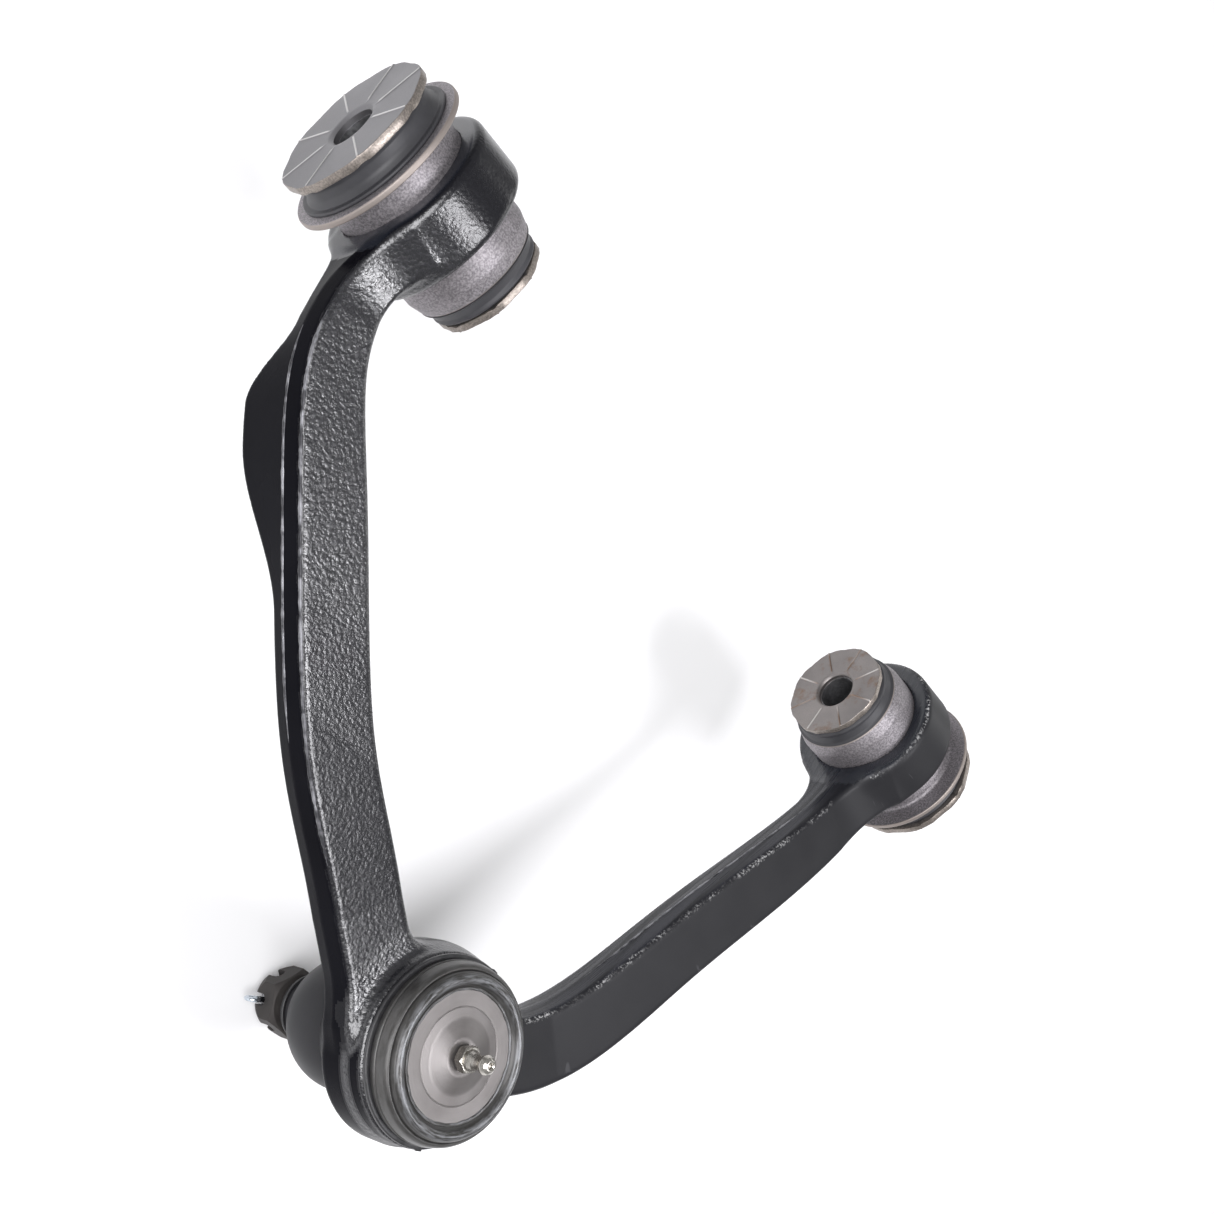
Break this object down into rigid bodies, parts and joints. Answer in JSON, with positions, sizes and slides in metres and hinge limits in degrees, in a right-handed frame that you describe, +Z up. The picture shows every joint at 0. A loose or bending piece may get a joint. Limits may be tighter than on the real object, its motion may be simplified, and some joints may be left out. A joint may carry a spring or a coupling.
{
  "type": "suspension control arm",
  "caption": "Forged two-legged suspension arm with a flanged rubber bushing pressed into each eye and a greasable, booted ball joint with a castle nut at its tip.",
  "frame": {"origin": "on the pivot axis, midway between the centres of the two bushings", "axes": "+X along the pivot axis towards the front bushing, +Y from the pivot towards the ball joint, +Z up towards the ball joint's cap"},
  "size_m": [0.372, 0.2729, 0.1258],
  "materials": {
    "black_forging": "hammer-textured gloss and satin black paint over the forging",
    "shell_steel": "grey phosphated pressed steel, speckled",
    "bushing_rubber": "satin dark grey rubber",
    "sleeve_steel": "turned steel",
    "plate_steel": "mid grey blasted steel with bright worn ridges",
    "housing_steel": "dark olive-grey steel, scuffed bright on the rolled rim",
    "cover_steel": "pressed grey steel disc",
    "stud_steel": "ground steel",
    "fitting_nickel": "nickel plated",
    "bearing_plastic": "natural plastic",
    "blackened_ring": "blackened steel",
    "boot_rubber": "black satin rubber",
    "nut_steel": "matte brown-black phosphate",
    "pin_zinc": "blue-white zinc plate"
  },
  "bodies": {
    "arm": {"arm_forging": "black_forging", "front_bushing_shell": "shell_steel", "front_bushing_rubber": "bushing_rubber", "rear_bushing_shell": "shell_steel", "rear_bushing_rubber": "bushing_rubber", "ball_joint_housing": "housing_steel", "housing_retaining_ring": "blackened_ring", "cover_plate": "cover_steel", "preload_washer": "blackened_ring", "upper_bearing": "bearing_plastic", "grease_fitting": "fitting_nickel", "grease_check_ball": "fitting_nickel", "dust_boot": "boot_rubber", "boot_clamp_ring": "blackened_ring"},
    "front_sleeve": {"front_inner_sleeve": "sleeve_steel", "front_outer_end_plate": "plate_steel", "front_inner_end_plate": "plate_steel"},
    "rear_sleeve": {"rear_inner_sleeve": "sleeve_steel", "rear_outer_end_plate": "plate_steel", "rear_inner_end_plate": "plate_steel"},
    "bearing": {"lower_bearing": "bearing_plastic"},
    "boot_collar": {"boot_collar_ring": "blackened_ring"},
    "stud": {"ball_stud": "stud_steel", "castle_nut": "nut_steel", "cotter_pin": "pin_zinc"}
  },
  "joints": [
    {"name": "front_bushing_twist", "type": "hinge", "parent": "arm", "child": "front_sleeve", "pos_m": [0.151, 0, 0], "axis": [1, 0, 0], "range_deg": [-25, 25], "stiffness_Nm_per_rad": 40},
    {"name": "rear_bushing_twist", "type": "hinge", "parent": "arm", "child": "rear_sleeve", "pos_m": [-0.151, 0, 0], "axis": [1, 0, 0], "range_deg": [-25, 25], "stiffness_Nm_per_rad": 40},
    {"name": "ball_azimuth", "type": "hinge", "parent": "arm", "child": "bearing", "pos_m": [-0.0165, 0.209, -0.008], "axis": [0, 0, 1], "continuous": true},
    {"name": "stud_tilt", "type": "hinge", "parent": "bearing", "child": "boot_collar", "pos_m": [-0.0165, 0.209, -0.008], "axis": [1, 0, 0], "range_deg": [-20, 20], "deforming": ["dust_boot"]},
    {"name": "stud_spin", "type": "hinge", "parent": "boot_collar", "child": "stud", "pos_m": [-0.0165, 0.209, -0.008], "axis": [0, 0, 1], "continuous": true}
  ],
  "couplings": [
    {"joint": "rear_bushing_twist", "follows": "front_bushing_twist", "ratio": 1}
  ]
}
